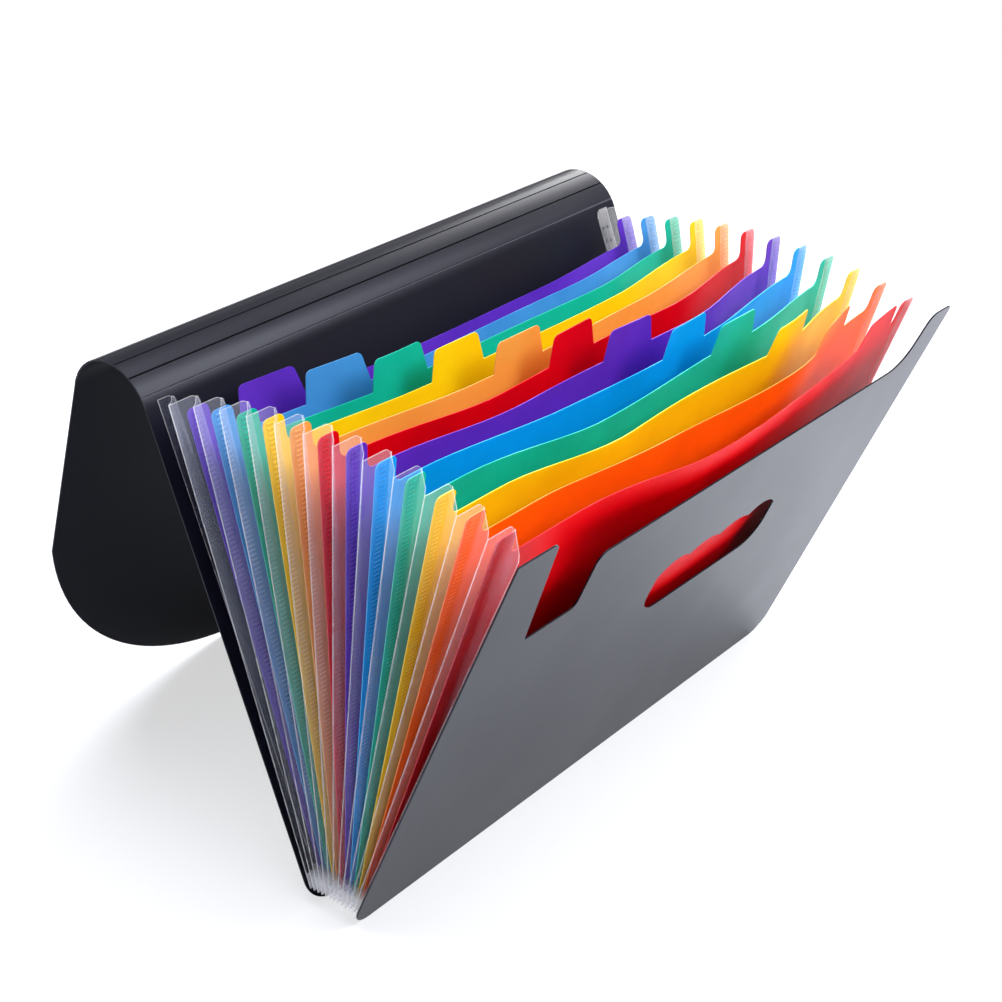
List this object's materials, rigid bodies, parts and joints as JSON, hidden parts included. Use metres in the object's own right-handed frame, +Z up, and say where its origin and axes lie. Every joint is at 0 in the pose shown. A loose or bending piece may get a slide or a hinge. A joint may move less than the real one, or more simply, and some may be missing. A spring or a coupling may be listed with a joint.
{
  "type": "accordion file folder",
  "caption": "Expanding file in plastic sheet, fanned open on its panel edges with its cover folded back as a leg: tabbed coloured dividers, clear pleated gussets and a hand hole.",
  "frame": {"origin": "middle of the bounding box's bottom face, on the surface that the file stands on", "axes": "+X along the file's width, to the right as seen from the front panel; +Y from the front panel to the cover behind; +Z up"},
  "size_m": [0.33, 0.3182, 0.2375],
  "materials": {
    "cover": "satin, fine grain",
    "film": "frosted clear film",
    "divider_purple": "translucent sheet",
    "divider_blue": "translucent sheet",
    "divider_teal": "translucent sheet",
    "divider_yellow": "translucent sheet",
    "divider_orange": "translucent sheet",
    "divider_red": "translucent sheet"
  },
  "bodies": {
    "back_panel": {"back_panel": "cover", "pocket_bottom_01": "film", "left_pleat_01": "film", "right_pleat_01": "film"},
    "divider_01": {"divider_01": "divider_purple", "pocket_bottom_02": "film", "left_pleat_02": "film", "right_pleat_02": "film"},
    "divider_02": {"divider_02": "divider_blue", "pocket_bottom_03": "film", "left_pleat_03": "film", "right_pleat_03": "film"},
    "divider_03": {"divider_03": "divider_teal", "pocket_bottom_04": "film", "left_pleat_04": "film", "right_pleat_04": "film"},
    "divider_04": {"divider_04": "divider_yellow", "pocket_bottom_05": "film", "left_pleat_05": "film", "right_pleat_05": "film"},
    "divider_05": {"divider_05": "divider_orange", "pocket_bottom_06": "film", "left_pleat_06": "film", "right_pleat_06": "film"},
    "divider_06": {"divider_06": "divider_red", "pocket_bottom_07": "film", "left_pleat_07": "film", "right_pleat_07": "film"},
    "divider_07": {"divider_07": "divider_purple", "pocket_bottom_08": "film", "left_pleat_08": "film", "right_pleat_08": "film"},
    "divider_08": {"divider_08": "divider_blue", "pocket_bottom_09": "film", "left_pleat_09": "film", "right_pleat_09": "film"},
    "divider_09": {"divider_09": "divider_teal", "pocket_bottom_10": "film", "left_pleat_10": "film", "right_pleat_10": "film"},
    "divider_10": {"divider_10": "divider_yellow", "pocket_bottom_11": "film", "left_pleat_11": "film", "right_pleat_11": "film"},
    "divider_11": {"divider_11": "divider_orange", "pocket_bottom_12": "film", "left_pleat_12": "film", "right_pleat_12": "film"},
    "divider_12": {"divider_12": "divider_red", "pocket_bottom_13": "film", "left_pleat_13": "film", "right_pleat_13": "film"},
    "front_panel": {"front_panel": "cover", "front_film_flange": "film"},
    "spine_band_1": {"spine_band_1": "cover"},
    "spine_band_2": {"spine_band_2": "cover"},
    "spine_band_3": {"spine_band_3": "cover"},
    "spine_band_4": {"spine_band_4": "cover"},
    "spine_band_5": {"spine_band_5": "cover"},
    "cover_flap": {"cover_flap": "cover"}
  },
  "joints": [
    {"name": "cover_crease_1", "type": "hinge", "parent": "back_panel", "child": "spine_band_1", "pos_m": [0, 0.0433, 0.22461], "axis": [1, 0, 0], "range_deg": [0, 53.5]},
    {"name": "cover_crease_2", "type": "hinge", "parent": "spine_band_1", "child": "spine_band_2", "pos_m": [0, 0.05029, 0.23176], "axis": [1, 0, 0], "range_deg": [0, 53.5]},
    {"name": "cover_crease_3", "type": "hinge", "parent": "spine_band_2", "child": "spine_band_3", "pos_m": [0, 0.05955, 0.23554], "axis": [1, 0, 0], "range_deg": [0, 53.5]},
    {"name": "cover_crease_4", "type": "hinge", "parent": "spine_band_3", "child": "spine_band_4", "pos_m": [0, 0.06954, 0.23532], "axis": [1, 0, 0], "range_deg": [0, 53.5]},
    {"name": "cover_crease_5", "type": "hinge", "parent": "spine_band_4", "child": "spine_band_5", "pos_m": [0, 0.07862, 0.23112], "axis": [1, 0, 0], "range_deg": [0, 53.5]},
    {"name": "cover_crease_6", "type": "hinge", "parent": "spine_band_5", "child": "cover_flap", "pos_m": [0, 0.08527, 0.22365], "axis": [1, 0, 0], "range_deg": [0, 53.5]},
    {"name": "pocket_fold_01", "type": "hinge", "parent": "back_panel", "child": "divider_01", "pos_m": [0, -0.04227, 0.006], "axis": [-1, 0, 0], "range_deg": [0, 3.4], "deforming": ["left_pleat_01", "right_pleat_01"]},
    {"name": "pocket_fold_02", "type": "hinge", "parent": "divider_01", "child": "divider_02", "pos_m": [0, -0.04437, 0.006], "axis": [-1, 0, 0], "range_deg": [0, 3.4], "deforming": ["left_pleat_02", "right_pleat_02"]},
    {"name": "pocket_fold_03", "type": "hinge", "parent": "divider_02", "child": "divider_03", "pos_m": [0, -0.04647, 0.006], "axis": [-1, 0, 0], "range_deg": [0, 3.4], "deforming": ["left_pleat_03", "right_pleat_03"]},
    {"name": "pocket_fold_04", "type": "hinge", "parent": "divider_03", "child": "divider_04", "pos_m": [0, -0.04857, 0.006], "axis": [-1, 0, 0], "range_deg": [0, 3.4], "deforming": ["left_pleat_04", "right_pleat_04"]},
    {"name": "pocket_fold_05", "type": "hinge", "parent": "divider_04", "child": "divider_05", "pos_m": [0, -0.05067, 0.006], "axis": [-1, 0, 0], "range_deg": [0, 3.4], "deforming": ["left_pleat_05", "right_pleat_05"]},
    {"name": "pocket_fold_06", "type": "hinge", "parent": "divider_05", "child": "divider_06", "pos_m": [0, -0.05277, 0.006], "axis": [-1, 0, 0], "range_deg": [0, 3.4], "deforming": ["left_pleat_06", "right_pleat_06"]},
    {"name": "pocket_fold_07", "type": "hinge", "parent": "divider_06", "child": "divider_07", "pos_m": [0, -0.05487, 0.006], "axis": [-1, 0, 0], "range_deg": [0, 3.4], "deforming": ["left_pleat_07", "right_pleat_07"]},
    {"name": "pocket_fold_08", "type": "hinge", "parent": "divider_07", "child": "divider_08", "pos_m": [0, -0.05697, 0.006], "axis": [-1, 0, 0], "range_deg": [0, 3.4], "deforming": ["left_pleat_08", "right_pleat_08"]},
    {"name": "pocket_fold_09", "type": "hinge", "parent": "divider_08", "child": "divider_09", "pos_m": [0, -0.05907, 0.006], "axis": [-1, 0, 0], "range_deg": [0, 3.4], "deforming": ["left_pleat_09", "right_pleat_09"]},
    {"name": "pocket_fold_10", "type": "hinge", "parent": "divider_09", "child": "divider_10", "pos_m": [0, -0.06117, 0.006], "axis": [-1, 0, 0], "range_deg": [0, 3.4], "deforming": ["left_pleat_10", "right_pleat_10"]},
    {"name": "pocket_fold_11", "type": "hinge", "parent": "divider_10", "child": "divider_11", "pos_m": [0, -0.06327, 0.006], "axis": [-1, 0, 0], "range_deg": [0, 3.4], "deforming": ["left_pleat_11", "right_pleat_11"]},
    {"name": "pocket_fold_12", "type": "hinge", "parent": "divider_11", "child": "divider_12", "pos_m": [0, -0.06537, 0.006], "axis": [-1, 0, 0], "range_deg": [0, 3.4], "deforming": ["left_pleat_12", "right_pleat_12"]},
    {"name": "pocket_fold_13", "type": "hinge", "parent": "divider_12", "child": "front_panel", "pos_m": [0, -0.06747, 0.006], "axis": [-1, 0, 0], "range_deg": [0, 3.4], "deforming": ["left_pleat_13", "right_pleat_13"]}
  ],
  "couplings": [
    {"joint": "pocket_fold_02", "follows": "pocket_fold_01", "ratio": 1},
    {"joint": "pocket_fold_03", "follows": "pocket_fold_01", "ratio": 1},
    {"joint": "pocket_fold_04", "follows": "pocket_fold_01", "ratio": 1},
    {"joint": "pocket_fold_05", "follows": "pocket_fold_01", "ratio": 1},
    {"joint": "pocket_fold_06", "follows": "pocket_fold_01", "ratio": 1},
    {"joint": "pocket_fold_07", "follows": "pocket_fold_01", "ratio": 1},
    {"joint": "pocket_fold_08", "follows": "pocket_fold_01", "ratio": 1},
    {"joint": "pocket_fold_09", "follows": "pocket_fold_01", "ratio": 1},
    {"joint": "pocket_fold_10", "follows": "pocket_fold_01", "ratio": 1},
    {"joint": "pocket_fold_11", "follows": "pocket_fold_01", "ratio": 1},
    {"joint": "pocket_fold_12", "follows": "pocket_fold_01", "ratio": 1},
    {"joint": "pocket_fold_13", "follows": "pocket_fold_01", "ratio": 1}
  ]
}
